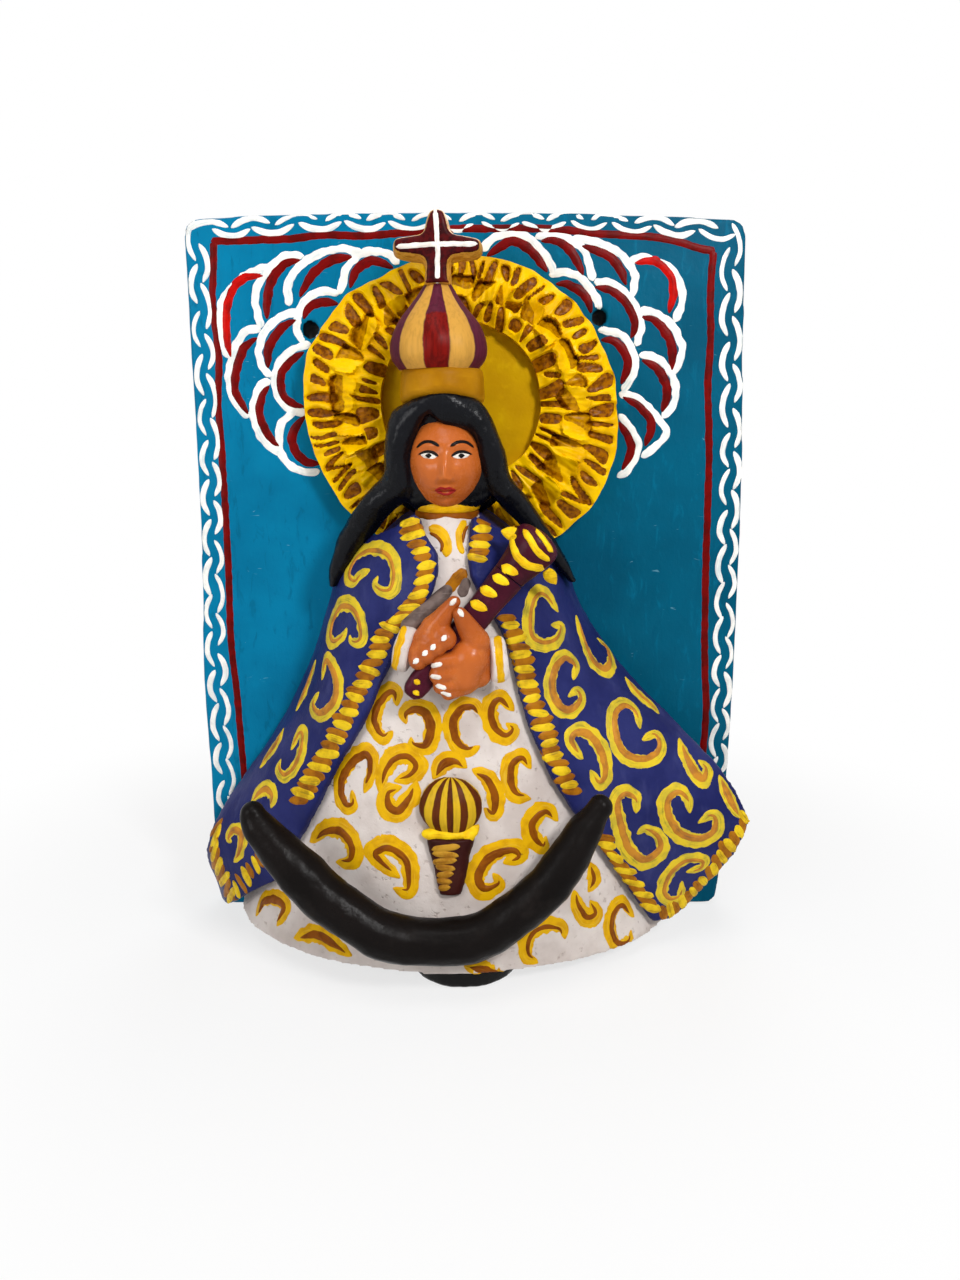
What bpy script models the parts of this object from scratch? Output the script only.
"""Ceramic wall retablo: a painted clay plaque that carries a modelled figure in high relief.

Hand-built pieces of fired clay are luted together. A slab with two hanging holes is the back.
A hollow half-cone dress stands on a tongue-shaped foot, and cloak panels, head, hair, crown,
halo, hands, staff, pendant and crescent are seated on it. Left and right are the viewer's.

Units are metres, +Z is up, the front faces -Y and the plaque's back lies in the plane Y = 0.
Heights are counted from the sole. The origin is the middle of the plaque's back.
"""

import math

import bmesh
import bpy
from mathutils import Matrix, Vector

# Seams between luted pieces
SEAM = 0.0003
CLOAK_SEAM = 0.0008

# Back plaque and its hanging holes
PLAQUE_WIDTH = 0.2025
PLAQUE_HEIGHT = 0.266
PLAQUE_ARCH = 0.004
PLAQUE_SHOULDER = 0.0018
PLAQUE_THICKNESS = 0.011
PLAQUE_CORNER_RADIUS = 0.006
PLAQUE_EDGE_ROUND = 0.002
HOLE_DIAMETER = 0.0065
HOLE_SPACING = 0.1066
HOLE_HEIGHT = 0.234
HOLE_LEFT_DROP = 0.0044
HOLE_MIDPOINT_X = -0.0038
# Waver of the plaque's sides as (share of its height, how far the side stands out)
PLAQUE_LEFT_SIDE = ((0.0, 0.0010), (0.2, 0.0028), (0.4, 0.0028), (0.6, 0.0004), (0.8, 0.0), (1.0, 0.0))
PLAQUE_RIGHT_SIDE = ((0.0, 0.0030), (0.2, 0.0045), (0.45, 0.0050), (0.65, 0.0040), (0.85, 0.0015), (1.0, 0.0))

# Halo: a round slab with a ring of pinched rays on it
HALO_RADIUS = 0.0558
HALO_DISC_THICKNESS = 0.005
HALO_RECESS_RADIUS = 0.029
HALO_RING_THICKNESS = 0.0075
HALO_RIM_THICKNESS = 0.004
HALO_GROOVE_DEPTH = 0.002
HALO_CREST_RADIUS = 0.033
HALO_MIDDLE_RADIUS = 0.0437
HALO_HEIGHT = 0.203
HALO_X = -0.0015
HALO_RAYS = 36

# Foot: a tongue from the plaque, on which the hem stands
FOOT_WIDTH = 0.040
FOOT_REACH = 0.063
FOOT_THICKNESS = 0.0062
FOOT_EDGE_ROUND = 0.0018

# Dress: a hollow half-cone whose section is half an ellipse
HEM_HALF_WIDTH = 0.088
HEM_DEPTH = 0.064
SHOULDER_HEIGHT = 0.132
SHOULDER_HALF_WIDTH = 0.041
SHOULDER_DEPTH = 0.044
NECK_HEIGHT = 0.1655
NECK_HALF_WIDTH = 0.015
NECK_DEPTH = 0.037
DRESS_WALL = 0.0055
FIGURE_X = -0.004
FIGURE_LEAN = -0.013

# Cloak: two draped panels, each from a front edge to a flared outer edge
CLOAK_THICKNESS = 0.004
CLOAK_TOP_DROP = 0.002
CLOAK_SHOULDER_DROP = 0.0145
CLOAK_EDGE_MARGIN = 1.5
LEFT_FLARE = 0.0165
LEFT_FLARE_HEIGHT = 0.037
LEFT_FLARE_RISE = 0.032
LEFT_FLARE_FALL = 0.025
LEFT_STANDOFF = 0.014
RIGHT_FLARE = 0.0375
RIGHT_FLARE_HEIGHT = 0.052
RIGHT_FLARE_RISE = 0.044
RIGHT_FLARE_FALL = 0.046
RIGHT_STANDOFF = 0.030
# Front edges as (share of the way from the hem to the neck, angle from straight ahead)
LEFT_FRONT_EDGE = (
    (0.0, 60), (0.15, 53.5), (0.27, 48), (0.36, 42.5), (0.46, 37), (0.54, 31.5), (0.61, 27), (0.69, 22),
    (0.77, 15.5), (0.83, 7.5), (0.88, 4), (0.93, 7.5), (1.0, 34),
)
RIGHT_FRONT_EDGE = (
    (0.0, 60), (0.04, 58), (0.16, 50.5), (0.27, 43.5), (0.35, 38), (0.43, 32.5), (0.53, 28), (0.62, 26),
    (0.71, 25), (0.79, 20), (0.84, 14), (0.89, 12), (0.94, 14.5), (1.0, 28),
)
# Lower edges as (share of the way from the front edge to the outer edge, height)
LEFT_HEM = ((0.0, 0.0285), (0.25, 0.019), (0.5, 0.0115), (0.75, 0.009), (1.0, 0.009))
RIGHT_HEM = ((0.0, 0.0115), (0.25, 0.0125), (0.5, 0.0195), (0.75, 0.033), (1.0, 0.051))

# Head, hair and crown
HEAD_HALF_WIDTH = 0.0142
HEAD_HALF_DEPTH = 0.016
HEAD_HALF_HEIGHT = 0.0172
CHIN_CLEARANCE = 0.0003
HEAD_FORWARD = 0.007
NOSE_HALF_WIDTH = 0.0026
NOSE_RELIEF = 0.0032
NOSE_HALF_HEIGHT = 0.0048
HAIR_HALF_WIDTH = 0.0205
HAIR_TOP_HALF_WIDTH = 0.0135
HAIR_FRONT = 0.040
HAIR_TOP_THICKNESS = 0.0013
HAIR_BOTTOM_RISE = 0.0045
FACE_HALF_WIDTH = 0.0132
FACE_HALF_HEIGHT = 0.0185
LOCK_RADIUS = 0.0060
LOCK_TIP_RADIUS = 0.0022
LOCK_RISE = 0.008
LOCK_LENGTH = 0.032
LOCK_LANDING = 0.5
LOCK_START_ANGLE = 62
LOCK_END_ANGLE = 76
LOCK_CLEARANCE = 0.0012
CROWN_BAND_RADIUS = 0.0144
CROWN_BAND_HEIGHT = 0.0118
CROWN_BAND_CHAMFER = 0.0015
CROWN_BULB_RADIUS = 0.0166
CROWN_BULB_HEIGHT = 0.0265
CROWN_BULB_WAIST = 0.34
CROWN_OFFSET = -0.0012
CROSS_HEIGHT = 0.0230
CROSS_WIDTH = 0.0300
CROSS_LIMB = 0.0075
CROSS_DEPTH = 0.012
CROSS_TAPER = 0.0022
CROSS_ARM_HEIGHT = 0.0116

# Hands, cuffs and staff, placed from a point on the front of the dress
GRIP_HEIGHT = 0.120
HAND_DEPTH = 0.0082
THUMB_RADIUS = 0.0034
THUMB_TIP_RADIUS = 0.0029
WRIST_RADIUS = 0.0045
WRIST_LENGTH = 0.0008
CUFF_HALF_HEIGHT = 0.0078
CUFF_HALF_DEPTH = 0.0050
CUFF_LENGTH = 0.0055
CUFF_EDGE_ROUND = 0.0012
STAFF_RADIUS = 0.0047
STAFF_FOOT_RADIUS = 0.0042
STAFF_BELOW = 0.020
STAFF_ABOVE = 0.032
STAFF_ANGLE = 40
STAFF_CROSSING_DROP = 0.0018
STAFF_HEAD_RADIUS = 0.0088
STAFF_HEAD_LENGTH = 0.020
STAFF_HEAD_FULLNESS = 0.7
HAND_SEAM = 0.0005
HAND_VOXEL = 0.0009
HAND_FACE_SHARE = 0.22
HAND_DIVIDE = -0.0035
STAFF_EDGE_ROUND = 0.0012

# Hands in the grip's frame: X, depth and rise of the palm's middle and of both ends of the thumb
LEFT_PALM_X = -0.0054
LEFT_PALM_RISE = 0.0055
LEFT_PALM_HALF_WIDTH = 0.0066
LEFT_PALM_HALF_LENGTH = 0.0105
LEFT_PALM_TURN = -38
LEFT_THUMB_DEPTH = 0.0075
LEFT_THUMB_ROOT_X = -0.005
LEFT_THUMB_ROOT_RISE = 0.011
LEFT_THUMB_TIP_X = 0.0012
LEFT_THUMB_TIP_RISE = 0.0195
RIGHT_PALM_X = 0.0030
RIGHT_PALM_RISE = -0.0050
RIGHT_PALM_HALF_WIDTH = 0.0105
RIGHT_PALM_HALF_LENGTH = 0.0100
RIGHT_PALM_TURN = 12
RIGHT_THUMB_ROOT_DEPTH = 0.0105
RIGHT_THUMB_ROOT_X = 0.0085
RIGHT_THUMB_TIP_DEPTH = 0.0128
RIGHT_THUMB_TIP_X = 0.0045
RIGHT_THUMB_TIP_RISE = 0.0150
RIGHT_CUFF_DROP = 0.0035

# Pendant ornament on the front of the dress
PENDANT_HEIGHT = 0.0555
PENDANT_BULB_RADIUS = 0.0105
PENDANT_RELIEF = 0.0065
PENDANT_DROP_LENGTH = 0.0205
PENDANT_DROP_RADIUS = 0.0076
PENDANT_DROP_TIP_RADIUS = 0.0036
PENDANT_DROP_EDGE_ROUND = 0.0008
PENDANT_DROP_RELIEF = 0.0058

# Crescent in front of the skirt
CRESCENT_HALF_SPAN = 0.0597
CRESCENT_RISE = 0.0456
CRESCENT_RADIUS = 0.0084
CRESCENT_HEIGHT = 0.0223
CRESCENT_X = -0.0143
CRESCENT_TIP_SET_BACK = 0.010
# Stations from the left tip to the right one, as shares of the half span, rise and radius
CRESCENT_STATIONS = (
    (-1.0, 0.97, 0.40), (-0.94, 0.87, 0.70), (-0.83, 0.70, 0.90), (-0.70, 0.52, 1.0), (-0.57, 0.35, 1.03),
    (-0.42, 0.21, 1.02), (-0.26, 0.08, 1.0), (-0.08, 0.015, 1.0), (0.10, 0.0, 1.0), (0.27, 0.02, 1.0),
    (0.39, 0.07, 0.98), (0.575, 0.245, 0.95), (0.73, 0.43, 0.92), (0.85, 0.655, 0.85), (0.94, 0.85, 0.72),
    (1.02, 1.0, 0.46),
)

LEFT, RIGHT = -1, 1
SHARP_ANGLE = 40
WELD_DISTANCE = 0.0001


def lerp(start, end, share):
    return start + (end - start) * share


def smooth_value(stations, place):
    """Value at a place on a smooth curve through (place, value) stations."""
    last = len(stations) - 1
    i = 0
    while i < last - 1 and place > stations[i + 1][0]:
        i += 1
    before, start, end, after = (stations[max(0, min(last, k))] for k in (i - 1, i, i + 1, i + 2))
    span = end[0] - start[0]
    t = max(0.0, min(1.0, (place - start[0]) / span))
    slope_in = (end[1] - before[1]) / (end[0] - before[0]) * span
    slope_out = (after[1] - start[1]) / (after[0] - start[0]) * span
    return (
        (2 * t**3 - 3 * t**2 + 1) * start[1]
        + (t**3 - 2 * t**2 + t) * slope_in
        + (-2 * t**3 + 3 * t**2) * end[1]
        + (t**3 - t**2) * slope_out
    )


def front(reach):
    """Y of a point that stands this far in front of the plaque's face."""
    return -(PLAQUE_THICKNESS + reach)


HEM_HEIGHT = FOOT_THICKNESS + SEAM


def body_section(height):
    """Centre X, half width and depth of the dress's outside at a height."""
    if height <= SHOULDER_HEIGHT:
        share = (height - HEM_HEIGHT) / (SHOULDER_HEIGHT - HEM_HEIGHT)
        half_width = lerp(HEM_HALF_WIDTH, SHOULDER_HALF_WIDTH, share)
        depth = lerp(HEM_DEPTH, SHOULDER_DEPTH, share)
    else:
        share = min(1.0, (height - SHOULDER_HEIGHT) / (NECK_HEIGHT - SHOULDER_HEIGHT))
        rounding = 1.0 - share * share
        half_width = lerp(NECK_HALF_WIDTH, SHOULDER_HALF_WIDTH, rounding)
        depth = lerp(NECK_DEPTH, SHOULDER_DEPTH, rounding)
    return FIGURE_X + FIGURE_LEAN * height, half_width, depth


def on_body(height, angle, outset):
    """Point outside the dress by an outset, at an angle from straight ahead."""
    centre, half_width, depth = body_section(height)
    x = centre + (half_width + outset) * math.sin(angle)
    reach = (depth + outset) * math.cos(angle) + SEAM
    return Vector((x, front(reach), height))


def body_normal(height, angle, step=1e-4):
    """Unit vector out of the dress at a point, taken from its neighbours."""
    here = on_body(height, angle, 0.0)
    around = on_body(height, angle + step, 0.0) - here
    down = here - on_body(height + step, angle, 0.0)
    outward = around.cross(down)
    return outward.normalized() * (1.0 if outward.y < 0 else -1.0)


# Scene helpers


def clear_scene():
    for obj in list(bpy.data.objects):
        bpy.data.objects.remove(obj)


def new_collection(name):
    collection = bpy.data.collections.new(name)
    bpy.context.scene.collection.children.link(collection)
    return collection


def paint(name, colour, roughness, metallic=0.0):
    material = bpy.data.materials.new(name)
    material.use_nodes = True
    shader = material.node_tree.nodes["Principled BSDF"]
    shader.inputs["Base Color"].default_value = (*colour, 1.0)
    shader.inputs["Roughness"].default_value = roughness
    shader.inputs["Metallic"].default_value = metallic
    return material


def add_mesh(name, bm, collection, parent):
    """Object from a bmesh, whose faces are turned outwards where it is closed."""
    if all(edge.is_manifold for edge in bm.edges):
        bmesh.ops.recalc_face_normals(bm, faces=bm.faces)
    mesh = bpy.data.meshes.new(name)
    bm.to_mesh(mesh)
    bm.free()
    obj = bpy.data.objects.new(name, mesh)
    collection.objects.link(obj)
    obj.parent = parent
    return obj


def add_piece(name, bm, material, parent=None):
    obj = add_mesh(name, bm, PIECES, parent or ROOT)
    obj.data.materials.append(material)
    obj.data.shade_smooth()
    obj.data.set_sharp_from_angle(angle=math.radians(SHARP_ANGLE))
    return obj


def add_cutter(name, bm, parent=None):
    obj = add_mesh(name, bm, CUTTERS, parent or ROOT)
    obj.hide_render = True
    obj.display_type = "WIRE"
    return obj


def add_frame(name, location, tilt=0.0, parent=None):
    """Empty that places a group of pieces, leaning back about X."""
    empty = bpy.data.objects.new(name, None)
    PIECES.objects.link(empty)
    empty.location = location
    empty.rotation_euler.x = tilt
    empty.parent = parent
    return empty


def combine(obj, other, operation):
    modifier = obj.modifiers.new(f"{operation}_{other.name}", "BOOLEAN")
    modifier.operation = operation
    modifier.object = other
    modifier.solver = "EXACT"


def weld_slivers(obj):
    modifier = obj.modifiers.new("no_slivers", "WELD")
    modifier.merge_threshold = WELD_DISTANCE


def round_edges(obj, width, segments=2):
    modifier = obj.modifiers.new("rounded_edges", "BEVEL")
    modifier.width = width
    modifier.segments = segments
    modifier.limit_method = "ANGLE"
    modifier.angle_limit = math.radians(SHARP_ANGLE)


def add_ellipsoid(bm, centre, radii, turn=None, segments=16, rings=10):
    made = bmesh.ops.create_uvsphere(bm, u_segments=segments, v_segments=rings, radius=1.0)
    place = Matrix.Translation(centre) @ (turn or Matrix.Identity(4)) @ Matrix.Diagonal((*radii, 1.0))
    bmesh.ops.transform(bm, matrix=place, verts=made["verts"])


def add_cone(bm, start, end, start_radius, end_radius, segments=20, flatten=1.0):
    """Closed cone or cylinder between two points, flattened across its upright."""
    axis = Vector(end) - Vector(start)
    made = bmesh.ops.create_cone(
        bm, cap_ends=True, segments=segments, radius1=start_radius, radius2=end_radius, depth=axis.length
    )
    turn = axis.to_track_quat("Z", "Y").to_matrix().to_4x4()
    middle = (Vector(start) + Vector(end)) / 2
    place = Matrix.Translation(middle) @ turn @ Matrix.Diagonal((flatten, 1.0, 1.0, 1.0))
    bmesh.ops.transform(bm, matrix=place, verts=made["verts"])


def loft(rows, wrap_rows=False):
    """Closed bmesh through equal loops of points, each loop closed, capped unless the rows wrap."""
    bm = bmesh.new()
    loops = [[bm.verts.new(point) for point in row] for row in rows]
    count = len(loops[0])
    pairs = list(zip(loops, loops[1:] + loops[:1])) if wrap_rows else list(zip(loops, loops[1:]))
    for lower, upper in pairs:
        for i in range(count):
            k = (i + 1) % count
            bm.faces.new((lower[i], lower[k], upper[k], upper[i]))
    if not wrap_rows:
        for loop in (loops[0], loops[-1]):
            for i in range(count // 2 - 1):
                bm.faces.new((loop[i], loop[i + 1], loop[count - 2 - i], loop[count - 1 - i]))
    return bm


def add_turned(name, profile, segments, material, parent=None):
    """Piece turned from a profile of (radius, height) about its own Z axis, from axis to axis."""
    bm = bmesh.new()
    verts = [bm.verts.new((radius, 0.0, height)) for radius, height in profile]
    for pair in zip(verts, verts[1:]):
        bm.edges.new(pair)
    obj = add_mesh(name, bm, PIECES, parent or ROOT)
    obj.data.materials.append(material)
    screw = obj.modifiers.new("turned", "SCREW")
    screw.steps = screw.render_steps = segments
    screw.use_merge_vertices = True
    screw.merge_threshold = 1e-6
    screw.use_normal_calculate = True
    return obj


def slab(outline, thickness):
    """Closed bmesh of a flat outline in the XY plane, centred on it in thickness."""
    curve = bpy.data.curves.new("outline", "CURVE")
    curve.dimensions = "2D"
    curve.fill_mode = "BOTH"
    curve.extrude = thickness / 2
    spline = curve.splines.new("POLY")
    spline.points.add(len(outline) - 1)
    for point, (x, y) in zip(spline.points, outline):
        point.co = (x, y, 0.0, 1.0)
    spline.use_cyclic_u = True
    sketch = bpy.data.objects.new("outline", curve)
    bm = bmesh.new()
    bm.from_mesh(bpy.data.meshes.new_from_object(sketch))
    bpy.data.objects.remove(sketch)
    bmesh.ops.remove_doubles(bm, verts=bm.verts, dist=1e-6)
    return bm


def add_sweep(name, path, material, resolution):
    """Piece swept round along a path of (centre, radius)."""
    curve = bpy.data.curves.new(name, "CURVE")
    curve.dimensions = "3D"
    curve.bevel_depth = 1.0
    curve.bevel_resolution = resolution
    curve.use_fill_caps = True
    spline = curve.splines.new("POLY")
    spline.points.add(len(path) - 1)
    for point, (centre, radius) in zip(spline.points, path):
        point.co = (*centre, 1.0)
        point.radius = radius
    curve.materials.append(material)
    obj = bpy.data.objects.new(name, curve)
    PIECES.objects.link(obj)
    obj.parent = ROOT


# Plaque, halo and foot


def wavered(x, height):
    """Outline point moved out by the waver of the side on which it lies."""
    side = PLAQUE_RIGHT_SIDE if x > 0 else PLAQUE_LEFT_SIDE
    return x + smooth_value(side, height / PLAQUE_HEIGHT) * x / (PLAQUE_WIDTH / 2), height


def plaque_outline(corner_steps=5, side_steps=8, arch_steps=10):
    """Outline of the plaque as (x, height) points, with wavering sides and a bowed top edge."""
    half, radius = PLAQUE_WIDTH / 2, PLAQUE_CORNER_RADIUS
    shoulder = PLAQUE_HEIGHT + PLAQUE_SHOULDER - radius
    corners = (
        (-half + radius, radius, 180),
        (half - radius, radius, 270),
        (half - radius, shoulder, 0),
        (-half + radius, shoulder, 90),
    )
    points = []
    for number, (x, height, start) in enumerate(corners):
        for step in range(corner_steps + 1):
            turn = math.radians(start + 90 * step / corner_steps)
            points.append((x + radius * math.cos(turn), height + radius * math.sin(turn)))
        if number == 2:
            for step in range(1, arch_steps):
                x_arch = lerp(half - radius, -half + radius, step / arch_steps)
                bow = 1.0 - (x_arch / (half - radius)) ** 2
                points.append((x_arch, PLAQUE_HEIGHT + lerp(PLAQUE_SHOULDER, PLAQUE_ARCH, bow)))
        elif number in (1, 3):
            ends = (radius, shoulder) if number == 1 else (shoulder, radius)
            x_side = half if number == 1 else -half
            points += [(x_side, lerp(*ends, step / side_steps)) for step in range(1, side_steps)]
    return [wavered(*point) for point in points]


def hole_places():
    heights = (HOLE_HEIGHT - HOLE_LEFT_DROP, HOLE_HEIGHT)
    return [(HOLE_MIDPOINT_X + side * HOLE_SPACING / 2, z) for side, z in zip((LEFT, RIGHT), heights)]


def make_plaque(material):
    plaque = add_piece("back_plaque", slab(plaque_outline(), PLAQUE_THICKNESS), material)
    plaque.rotation_euler.x = math.radians(90)
    plaque.location.y = -PLAQUE_THICKNESS / 2
    round_edges(plaque, PLAQUE_EDGE_ROUND)
    for side, (x, z) in zip(("left", "right"), hole_places()):
        bm = bmesh.new()
        back, face = (x, PLAQUE_THICKNESS, z), (x, -2 * PLAQUE_THICKNESS, z)
        add_cone(bm, back, face, HOLE_DIAMETER / 2, HOLE_DIAMETER / 2, 16)
        combine(plaque, add_cutter(f"hole_{side}", bm), "DIFFERENCE")


HALO_DISC_FRONT = SEAM + HALO_DISC_THICKNESS
HALO_RING_BACK = HALO_DISC_FRONT + SEAM
HALO_RING_FRONT = HALO_RING_BACK + HALO_RING_THICKNESS


def make_halo(material):
    disc = bmesh.new()
    centre = (HALO_X, front(SEAM), HALO_HEIGHT)
    edge = (HALO_X, front(HALO_DISC_FRONT), HALO_HEIGHT)
    add_cone(disc, centre, edge, HALO_RADIUS, HALO_RADIUS, 2 * HALO_RAYS)
    add_piece("halo_disc", disc, material)

    steps = 2 * HALO_RAYS
    rows = []
    for step in range(steps):
        turn = math.tau * step / steps
        groove = HALO_GROOVE_DEPTH if step % 2 else 0.0
        crest = HALO_RING_BACK + HALO_RING_THICKNESS - groove
        rim = HALO_RING_BACK + HALO_RIM_THICKNESS - groove / 2
        section = (
            (HALO_RECESS_RADIUS, HALO_RING_BACK),
            (HALO_RECESS_RADIUS, crest - groove / 2),
            (HALO_CREST_RADIUS, crest),
            (HALO_MIDDLE_RADIUS, crest - groove / 2),
            (HALO_RADIUS, rim),
            (HALO_RADIUS, HALO_RING_BACK),
        )
        rows.append(
            [
                (HALO_X + radius * math.cos(turn), front(reach), HALO_HEIGHT + radius * math.sin(turn))
                for radius, reach in section
            ]
        )
    add_piece("halo_ray_ring", loft(rows, wrap_rows=True), material)


def make_halo_clearance():
    """Cutter that lets the shoulders seat against the halo."""
    bm = bmesh.new()
    back = (HALO_X, 0.0, HALO_HEIGHT)
    face = (HALO_X, front(HALO_RING_FRONT + SEAM), HALO_HEIGHT)
    add_cone(bm, back, face, HALO_RADIUS + SEAM, HALO_RADIUS + SEAM, 2 * HALO_RAYS)
    return add_cutter("halo_clearance", bm)


def make_foot(material, arc_steps=14):
    radius = FOOT_WIDTH / 2
    straight = FOOT_REACH - radius
    outline = [(-radius, front(SEAM))]
    for step in range(arc_steps + 1):
        turn = math.pi * step / arc_steps
        outline.append((-radius * math.cos(turn), front(straight + radius * math.sin(turn))))
    outline.append((radius, front(SEAM)))
    foot = add_piece("foot", slab(outline, FOOT_THICKNESS), material)
    foot.location.z = FOOT_THICKNESS / 2
    round_edges(foot, FOOT_EDGE_ROUND)


# Dress and cloak


def dress_heights(straight_rows=6, shoulder_rows=8):
    straight = [lerp(HEM_HEIGHT, SHOULDER_HEIGHT, i / straight_rows) for i in range(straight_rows)]
    rounded = [lerp(SHOULDER_HEIGHT, NECK_HEIGHT, i / shoulder_rows) for i in range(shoulder_rows + 1)]
    return straight + rounded


def make_dress(material, clearances, segments=32):
    rows = []
    for height in dress_heights():
        angles = [math.radians(lerp(-90, 90, i / segments)) for i in range(segments + 1)]
        outside = [on_body(height, angle, 0.0) for angle in angles]
        inside = [on_body(height, angle, -DRESS_WALL) for angle in reversed(angles)]
        rows.append(outside + inside)
    dress = add_piece("dress", loft(rows), material)
    for clearance in clearances:
        combine(dress, clearance, "DIFFERENCE")


def flare(height, size, peak, rise, fall):
    """Bell-shaped outward sweep of a cloak panel."""
    spread = rise if height > peak else fall
    return size * math.exp(-(((height - peak) / spread) ** 2))


def cloak_point(side, across, down, outset, edge_margin):
    """Point on the inside of a cloak panel: across from its front edge, down from its top."""
    if side == LEFT:
        edge, hem = LEFT_FRONT_EDGE, LEFT_HEM
        sweep = (LEFT_FLARE, LEFT_FLARE_HEIGHT, LEFT_FLARE_RISE, LEFT_FLARE_FALL)
        standoff = LEFT_STANDOFF
    else:
        edge, hem = RIGHT_FRONT_EDGE, RIGHT_HEM
        sweep = (RIGHT_FLARE, RIGHT_FLARE_HEIGHT, RIGHT_FLARE_RISE, RIGHT_FLARE_FALL)
        standoff = RIGHT_STANDOFF
    top = NECK_HEIGHT - CLOAK_TOP_DROP - CLOAK_SHOULDER_DROP * across
    height = lerp(top, smooth_value(hem, across), down)
    place = (height - HEM_HEIGHT) / (NECK_HEIGHT - HEM_HEIGHT)
    angle = math.radians(lerp(smooth_value(edge, place) - edge_margin, 90, across))
    point = on_body(height, side * angle, outset)
    outward = math.sin(angle) ** 2 * across
    sweep_here = flare(height, *sweep)
    point.x += side * outward * sweep_here
    point.y -= outward * standoff * sweep_here / sweep[0]
    return point


def cloak_surface(side, outset, edge_margin=0.0, columns=12, rows=24):
    bm = bmesh.new()
    grid = bmesh.ops.create_grid(bm, x_segments=columns, y_segments=rows, size=0.5)
    for vert in grid["verts"]:
        vert.co = cloak_point(side, vert.co.x + 0.5, 0.5 - vert.co.y, outset, edge_margin)
    if side == LEFT:
        bmesh.ops.reverse_faces(bm, faces=bm.faces)
    return bm


def thicken(obj, thickness):
    shell = obj.modifiers.new("clay_thickness", "SOLIDIFY")
    shell.thickness = thickness
    shell.offset = 1.0
    shell.use_even_offset = True


def make_cloak_panel(name, side, material, halo_clearance):
    panel = add_piece(name, cloak_surface(side, CLOAK_SEAM), material)
    thicken(panel, CLOAK_THICKNESS)
    combine(panel, halo_clearance, "DIFFERENCE")


def make_cloak_clearance(name, side):
    """Cutter a little larger than a cloak panel, for what lies over the panel's front edge."""
    surface = cloak_surface(side, CLOAK_SEAM - HAND_SEAM, CLOAK_EDGE_MARGIN)
    cutter = add_cutter(name, surface)
    thicken(cutter, CLOAK_THICKNESS + 2 * HAND_SEAM)
    return cutter


# Head, hair and crown

NECK_RADIUS = NECK_HALF_WIDTH - DRESS_WALL - SEAM
NECK_REACH = NECK_DEPTH - DRESS_WALL - NECK_RADIUS
HEAD_X = body_section(NECK_HEIGHT)[0]
HEAD_REACH = NECK_REACH + HEAD_FORWARD
HEAD_HEIGHT = NECK_HEIGHT + CHIN_CLEARANCE + HEAD_HALF_HEIGHT


def add_head_shape(bm, grow=0.0):
    radii = (HEAD_HALF_WIDTH + grow, HEAD_HALF_DEPTH + grow, HEAD_HALF_HEIGHT + grow)
    add_ellipsoid(bm, (HEAD_X, front(HEAD_REACH), HEAD_HEIGHT), radii, segments=24, rings=16)


def add_neck_shape(bm, grow=0.0):
    axis = (HEAD_X, front(NECK_REACH))
    low = NECK_HEIGHT - 2 * NECK_RADIUS
    add_cone(bm, (*axis, low), (*axis, HEAD_HEIGHT), NECK_RADIUS + grow, NECK_RADIUS + grow, 20)


def make_head(material):
    bm = bmesh.new()
    add_head_shape(bm)
    head = add_piece("head", bm, material)
    neck = bmesh.new()
    add_neck_shape(neck)
    combine(head, add_cutter("neck_post", neck), "UNION")
    nose = bmesh.new()
    place = (HEAD_X, front(HEAD_REACH + HEAD_HALF_DEPTH - NOSE_RELIEF / 2), HEAD_HEIGHT - NOSE_RELIEF)
    add_ellipsoid(nose, place, (NOSE_HALF_WIDTH, NOSE_RELIEF, NOSE_HALF_HEIGHT))
    combine(head, add_cutter("nose", nose), "UNION")


def make_neck_clearance():
    bm = bmesh.new()
    add_neck_shape(bm, SEAM)
    return add_cutter("neck_clearance", bm)


HAIR_TOP = HEAD_HEIGHT + HEAD_HALF_HEIGHT + SEAM + HAIR_TOP_THICKNESS
HAIR_BOTTOM = NECK_HEIGHT + HAIR_BOTTOM_RISE
HAIR_BACK = HALO_RING_FRONT + SEAM


def hair_section(share, points=24):
    """Closed loop of the hair's outside, from its bottom at share 0 to its top at share 1."""
    height = lerp(HAIR_BOTTOM, HAIR_TOP, share)
    half_width = lerp(HAIR_TOP_HALF_WIDTH, HAIR_HALF_WIDTH, math.sqrt(1.0 - share**2.5))
    middle = (HAIR_BACK + HAIR_FRONT) / 2
    half_depth = (HAIR_FRONT - HAIR_BACK) / 2
    loop = []
    for i in range(points):
        turn = math.tau * i / points
        reach = middle + half_depth * math.sin(turn)
        loop.append((HEAD_X + half_width * math.cos(turn), front(reach), height))
    return loop


def make_hair_cap(material, neck_clearance, rows=8):
    hair = add_piece("hair_cap", loft([hair_section(i / rows) for i in range(rows + 1)]), material)
    skull = bmesh.new()
    add_head_shape(skull, SEAM)
    combine(hair, add_cutter("skull_hollow", skull), "DIFFERENCE")
    combine(hair, neck_clearance, "DIFFERENCE")
    face = bmesh.new()
    start = (HEAD_X, front(HEAD_REACH), HEAD_HEIGHT - HEAD_HALF_HEIGHT + FACE_HALF_HEIGHT)
    end = (HEAD_X, front(HEAD_REACH + 3 * HEAD_HALF_DEPTH), start[2])
    add_cone(face, start, end, 1.0, 1.0, 28)
    squash = Matrix.Diagonal((FACE_HALF_WIDTH, 1.0, FACE_HALF_HEIGHT, 1.0))
    middle = Vector((start[0], 0.0, start[2]))
    place = Matrix.Translation(middle) @ squash @ Matrix.Translation(-middle)
    bmesh.ops.transform(face, matrix=place, verts=face.verts)
    combine(hair, add_cutter("face_opening", face), "DIFFERENCE")
    weld_slivers(hair)


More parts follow.
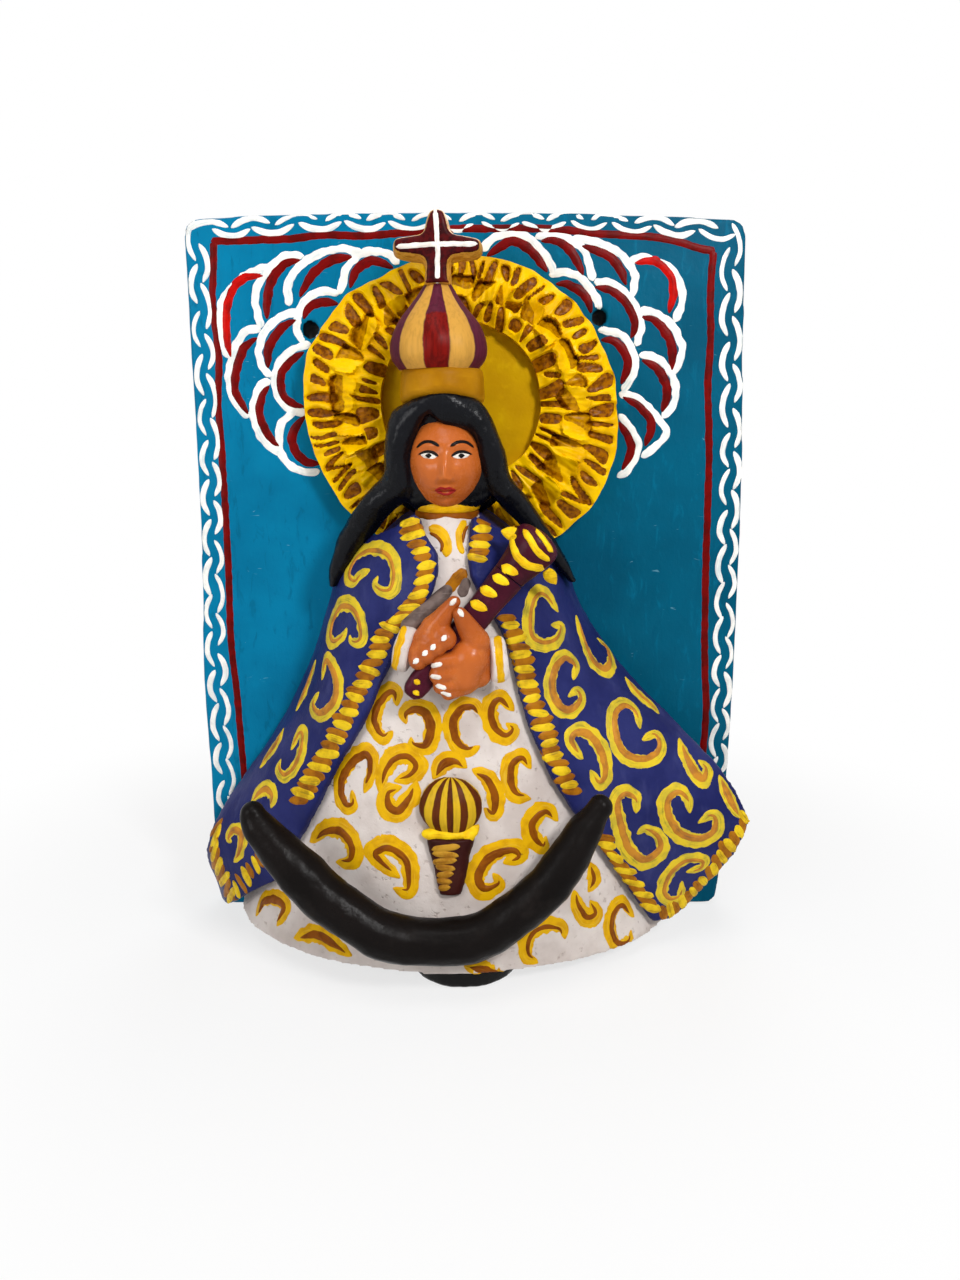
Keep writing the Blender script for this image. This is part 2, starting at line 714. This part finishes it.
def lock_path(side, points=9):
    """Centre line and radius of a lock that leaves the hair's side and falls over the cloak's shoulder."""
    beside = HAIR_HALF_WIDTH + LOCK_RADIUS + SEAM
    top = Vector((HEAD_X + side * beside, front((HAIR_BACK + HAIR_FRONT) / 2), HAIR_BOTTOM + LOCK_RISE))
    path = []
    for i in range(points):
        share = i / (points - 1)
        radius = lerp(LOCK_RADIUS, LOCK_TIP_RADIUS, share**2)
        height = lerp(NECK_HEIGHT, NECK_HEIGHT - LOCK_LENGTH, share)
        angle = side * math.radians(lerp(LOCK_START_ANGLE, LOCK_END_ANGLE, share))
        lift = CLOAK_SEAM + CLOAK_THICKNESS + radius + LOCK_CLEARANCE
        draped = on_body(height, angle, 0.0) + body_normal(height, angle) * lift
        path.append((top.lerp(draped, min(1.0, share / LOCK_LANDING)), radius))
    return path


CROWN_REACH = HAIR_BACK + CROWN_BULB_RADIUS + SEAM
CROWN_HEIGHT = HAIR_TOP + SEAM


def bulb_profile(steps=9):
    """Onion profile: a seat on the band, the widest place low down, a long shoulder and a blunt tip."""
    tip = CROSS_LIMB / 2
    profile = [(0.0, CROWN_BULB_HEIGHT)]
    for i in range(steps + 1):
        share = 1.0 - i / steps
        if share > CROWN_BULB_WAIST:
            swell = math.cos(math.pi / 2 * (share - CROWN_BULB_WAIST) / (1.0 - CROWN_BULB_WAIST))
            radius = lerp(tip, CROWN_BULB_RADIUS, swell)
        else:
            radius = lerp(CROWN_BAND_RADIUS - CROWN_BAND_CHAMFER, CROWN_BULB_RADIUS, share / CROWN_BULB_WAIST)
        profile.append((radius, CROWN_BULB_HEIGHT * share))
    profile.append((0.0, 0.0))
    return profile


def make_crown(gold, bulb_paint, cross_paint):
    base = Vector((HEAD_X + CROWN_OFFSET, front(CROWN_REACH), CROWN_HEIGHT))
    chamfer = CROWN_BAND_CHAMFER
    band_profile = (
        (0.0, CROWN_BAND_HEIGHT),
        (CROWN_BAND_RADIUS - chamfer, CROWN_BAND_HEIGHT),
        (CROWN_BAND_RADIUS, CROWN_BAND_HEIGHT - chamfer),
        (CROWN_BAND_RADIUS, chamfer),
        (CROWN_BAND_RADIUS - chamfer, 0.0),
        (0.0, 0.0),
    )
    band = add_turned("crown_band", band_profile, 28, gold)
    band.location = base
    bulb = add_turned("crown_bulb", bulb_profile(), 24, bulb_paint)
    bulb.location = base + Vector((CROWN_OFFSET, 0.0, CROWN_BAND_HEIGHT + SEAM))
    cross = add_piece("crown_cross", limb(CROSS_LIMB, CROSS_HEIGHT), cross_paint)
    cross.location = bulb.location + Vector((0.0, 0.0, CROWN_BULB_HEIGHT + SEAM))
    arms = limb(CROSS_WIDTH, CROSS_LIMB)
    bmesh.ops.translate(arms, vec=(0, 0, CROSS_ARM_HEIGHT - CROSS_LIMB / 2), verts=arms.verts)
    arm_piece = add_cutter("cross_arms", arms)
    arm_piece.location = cross.location
    combine(cross, arm_piece, "UNION")


def limb(width, height):
    """Closed bmesh of a cross limb that narrows towards its front."""
    bm = bmesh.new()
    bmesh.ops.create_cube(bm, size=1.0)
    for vert in bm.verts:
        narrow = CROSS_TAPER if vert.co.y < 0 else 0.0
        vert.co.x *= width - 2 * narrow
        vert.co.z = height / 2 + vert.co.z * (height - 2 * narrow)
        vert.co.y *= CROSS_DEPTH
    return bm


# Hands, cuffs and staff


def surface_frame(name, height):
    """Empty on the front of the dress, turned so that its -Y axis leaves the surface squarely."""
    x, _, depth = body_section(height)
    slope = math.atan2(HEM_DEPTH - SHOULDER_DEPTH, SHOULDER_HEIGHT - HEM_HEIGHT)
    return add_frame(name, (x, front(depth + SEAM), height), -slope, ROOT)


def staff_axis(along):
    """Point on the staff's axis in the grip's frame, high enough to pass over the cloak's edge."""
    turn = math.radians(STAFF_ANGLE)
    lift = CLOAK_SEAM + CLOAK_THICKNESS - STAFF_CROSSING_DROP
    return Vector((along * math.sin(turn), -(lift + STAFF_RADIUS + SEAM), along * math.cos(turn)))


HANDS = {
    LEFT: {
        "palm": (LEFT_PALM_X, HAND_DEPTH, LEFT_PALM_RISE),
        "size": (LEFT_PALM_HALF_WIDTH, HAND_DEPTH, LEFT_PALM_HALF_LENGTH),
        "turn": LEFT_PALM_TURN,
        "thumb": (
            (LEFT_THUMB_ROOT_X, LEFT_THUMB_DEPTH, LEFT_THUMB_ROOT_RISE),
            (LEFT_THUMB_TIP_X, LEFT_THUMB_DEPTH, LEFT_THUMB_TIP_RISE),
        ),
        "cuff_height": GRIP_HEIGHT,
    },
    RIGHT: {
        "palm": (RIGHT_PALM_X, HAND_DEPTH, RIGHT_PALM_RISE),
        "size": (RIGHT_PALM_HALF_WIDTH, HAND_DEPTH, RIGHT_PALM_HALF_LENGTH),
        "turn": RIGHT_PALM_TURN,
        "thumb": (
            (RIGHT_THUMB_ROOT_X, RIGHT_THUMB_ROOT_DEPTH, 0.0),
            (RIGHT_THUMB_TIP_X, RIGHT_THUMB_TIP_DEPTH, RIGHT_THUMB_TIP_RISE),
        ),
        "cuff_height": GRIP_HEIGHT - RIGHT_CUFF_DROP,
    },
}


def cuff_ends(side):
    """Both ends of a cuff's axis: it lies over the cloak, from the wrist outwards."""
    shape = HANDS[side]
    height = shape["cuff_height"]
    half_width = body_section(height)[1]
    outset = CLOAK_SEAM + CLOAK_THICKNESS + CUFF_HALF_DEPTH + 2 * SEAM
    turn = math.radians(shape["turn"])
    palm_reach = math.hypot(shape["size"][0] * math.cos(turn), shape["size"][2] * math.sin(turn))
    wrist = side * shape["palm"][0] + palm_reach + WRIST_LENGTH
    return [
        on_body(height, side * math.asin(reach / (half_width + outset)), outset)
        for reach in (wrist, wrist + CUFF_LENGTH)
    ]


def add_hand_shape(bm, side, wrist):
    shape = HANDS[side]
    palm, start, end = (Vector((x, -depth - SEAM, z)) for x, depth, z in (shape["palm"], *shape["thumb"]))
    turn = Matrix.Rotation(math.radians(shape["turn"]), 4, "Y")
    add_ellipsoid(bm, palm, shape["size"], turn, segments=20, rings=12)
    add_cone(bm, start, end, THUMB_RADIUS, THUMB_TIP_RADIUS, 12)
    add_ellipsoid(bm, end, [THUMB_TIP_RADIUS] * 3, segments=12, rings=8)
    add_cone(bm, *wrist, WRIST_RADIUS, WRIST_RADIUS, 14)


def add_hand_divider(side, grip):
    """Cutter that takes a hand away where the other one lies, beyond a plane along the staff."""
    size = 2 * (STAFF_BELOW + STAFF_ABOVE)
    bm = bmesh.new()
    bmesh.ops.create_cube(bm, size=size)
    turn = Matrix.Rotation(math.radians(STAFF_ANGLE), 4, "Y")
    plane = HAND_DIVIDE + side * HAND_SEAM / 2
    place = turn @ Matrix.Translation((plane - side * size / 2, 0.0, 0.0))
    bmesh.ops.transform(bm, matrix=place, verts=bm.verts)
    return add_cutter("beyond_right_hand" if side == RIGHT else "beyond_left_hand", bm, grip)


def make_hand(name, side, wrist, material, grip):
    bm = bmesh.new()
    add_hand_shape(bm, side, wrist)
    hand = add_piece(name, bm, material, grip)
    blend = hand.modifiers.new("one_body", "REMESH")
    blend.mode = "VOXEL"
    blend.voxel_size = HAND_VOXEL
    thin = hand.modifiers.new("fewer_faces", "DECIMATE")
    thin.ratio = HAND_FACE_SHARE
    shaft = bmesh.new()
    groove = STAFF_RADIUS + HAND_SEAM
    add_cone(shaft, staff_axis(-2 * STAFF_BELOW), staff_axis(2 * STAFF_ABOVE), groove, groove, 16)
    combine(hand, add_cutter(f"{name}_groove", shaft, grip), "DIFFERENCE")
    combine(hand, add_hand_divider(side, grip), "DIFFERENCE")
    combine(hand, make_cloak_clearance(f"{name}_cloak_clearance", side), "DIFFERENCE")


def make_grip(skin, linen, staff_paint, head_paint):
    grip = surface_frame("grip", GRIP_HEIGHT)
    to_grip = grip.matrix_basis.inverted()
    for side, word in ((LEFT, "left"), (RIGHT, "right")):
        start, end = (to_grip @ point for point in cuff_ends(side))
        inward = (start - end).normalized()
        wrist = (start + inward * HAND_SEAM, start + inward * HANDS[side]["size"][0])
        make_hand(f"hand_{word}", side, wrist, skin, grip)
        cuff = bmesh.new()
        flatten = CUFF_HALF_DEPTH / CUFF_HALF_HEIGHT
        add_cone(cuff, start, end, CUFF_HALF_HEIGHT, CUFF_HALF_HEIGHT, 20, flatten)
        round_edges(add_piece(f"cuff_{word}", cuff, linen, grip), CUFF_EDGE_ROUND)

    shaft = bmesh.new()
    add_cone(shaft, staff_axis(-STAFF_BELOW), staff_axis(STAFF_ABOVE), STAFF_FOOT_RADIUS, STAFF_RADIUS, 16)
    round_edges(add_piece("staff", shaft, staff_paint, grip), STAFF_EDGE_ROUND)
    steps = 7
    profile = [(0.0, STAFF_HEAD_LENGTH)]
    for i in range(1, steps + 1):
        share = 1.0 - i / steps
        radius = lerp(STAFF_RADIUS, STAFF_HEAD_RADIUS, math.sin(share * math.pi) ** STAFF_HEAD_FULLNESS)
        profile.append((radius, share * STAFF_HEAD_LENGTH))
    profile.append((0.0, 0.0))
    head = add_turned("staff_head", profile, 18, head_paint, grip)
    head.location = staff_axis(STAFF_ABOVE + SEAM)
    head.rotation_euler.y = math.radians(STAFF_ANGLE)


# Pendant and crescent


def make_pendant(material):
    place = surface_frame("pendant", PENDANT_HEIGHT)
    bulb = bmesh.new()
    radii = (PENDANT_BULB_RADIUS, PENDANT_RELIEF, PENDANT_BULB_RADIUS)
    add_ellipsoid(bulb, (0, 0, PENDANT_BULB_RADIUS), radii, segments=20, rings=12)
    cut_back(bulb)
    add_piece("pendant_bulb", bulb, material, place)
    drop = bmesh.new()
    top, tip = (0, 0, -SEAM), (0, 0, -SEAM - PENDANT_DROP_LENGTH)
    add_cone(drop, top, tip, PENDANT_DROP_RADIUS, PENDANT_DROP_TIP_RADIUS, 24)
    flatten = (1.0, PENDANT_DROP_RELIEF / PENDANT_DROP_RADIUS, 1.0)
    bmesh.ops.scale(drop, vec=flatten, verts=drop.verts)
    cut_back(drop)
    round_edges(add_piece("pendant_drop", drop, material, place), PENDANT_DROP_EDGE_ROUND)


def cut_back(bm):
    """Cuts a relief piece flat at its frame's Y = 0 plane and closes it."""
    everything = bm.verts[:] + bm.edges[:] + bm.faces[:]
    cut = bmesh.ops.bisect_plane(
        bm, geom=everything, plane_co=(0, -SEAM, 0), plane_no=(0, 1, 0), clear_outer=True
    )
    rim = [item for item in cut["geom_cut"] if isinstance(item, bmesh.types.BMEdge)]
    bmesh.ops.contextual_create(bm, geom=rim)


def crescent_path():
    """Centre line and radius of the crescent, from its left tip to its right one."""
    depth = body_section(CRESCENT_HEIGHT)[2]
    middle = depth + CRESCENT_RADIUS + 2 * SEAM
    path = []
    for across, rise, swell in CRESCENT_STATIONS:
        x = CRESCENT_X + CRESCENT_HALF_SPAN * across
        reach = middle - CRESCENT_TIP_SET_BACK * rise
        path.append(((x, front(reach), CRESCENT_HEIGHT + CRESCENT_RISE * rise), CRESCENT_RADIUS * swell))
    return path


clear_scene()
PIECES = new_collection("ceramic_retablo")
CUTTERS = new_collection("cutters")
ROOT = add_frame("retablo", (0.0, 0.0, -PLAQUE_HEIGHT / 2))

BLUE = paint("plaque_blue", (0.004, 0.150, 0.290), 0.45)
YELLOW = paint("halo_yellow", (0.760, 0.480, 0.010), 0.45)
BLACK = paint("glossy_black", (0.012, 0.010, 0.010), 0.25)
CHARCOAL = paint("satin_charcoal", (0.020, 0.016, 0.014), 0.45)
WHITE = paint("dress_white", (0.720, 0.680, 0.640), 0.50)
NAVY = paint("cloak_navy", (0.010, 0.014, 0.110), 0.42)
SKIN = paint("skin_brown", (0.500, 0.160, 0.040), 0.40)
HAIR = paint("hair_black", (0.014, 0.012, 0.012), 0.35)
GOLD = paint("crown_gold", (0.520, 0.260, 0.015), 0.42)
MAROON = paint("maroon", (0.120, 0.010, 0.016), 0.40)

make_plaque(BLUE)
make_halo(YELLOW)
make_foot(BLACK)
HALO_CLEARANCE = make_halo_clearance()
NECK_CLEARANCE = make_neck_clearance()
make_dress(WHITE, (HALO_CLEARANCE, NECK_CLEARANCE))
make_cloak_panel("cloak_left", LEFT, NAVY, HALO_CLEARANCE)
make_cloak_panel("cloak_right", RIGHT, NAVY, HALO_CLEARANCE)
make_head(SKIN)
make_hair_cap(HAIR, NECK_CLEARANCE)
add_sweep("hair_lock_left", lock_path(LEFT), HAIR, 3)
add_sweep("hair_lock_right", lock_path(RIGHT), HAIR, 3)
make_crown(GOLD, MAROON, MAROON)
make_grip(SKIN, WHITE, MAROON, YELLOW)
make_pendant(GOLD)
add_sweep("crescent", crescent_path(), CHARCOAL, 4)
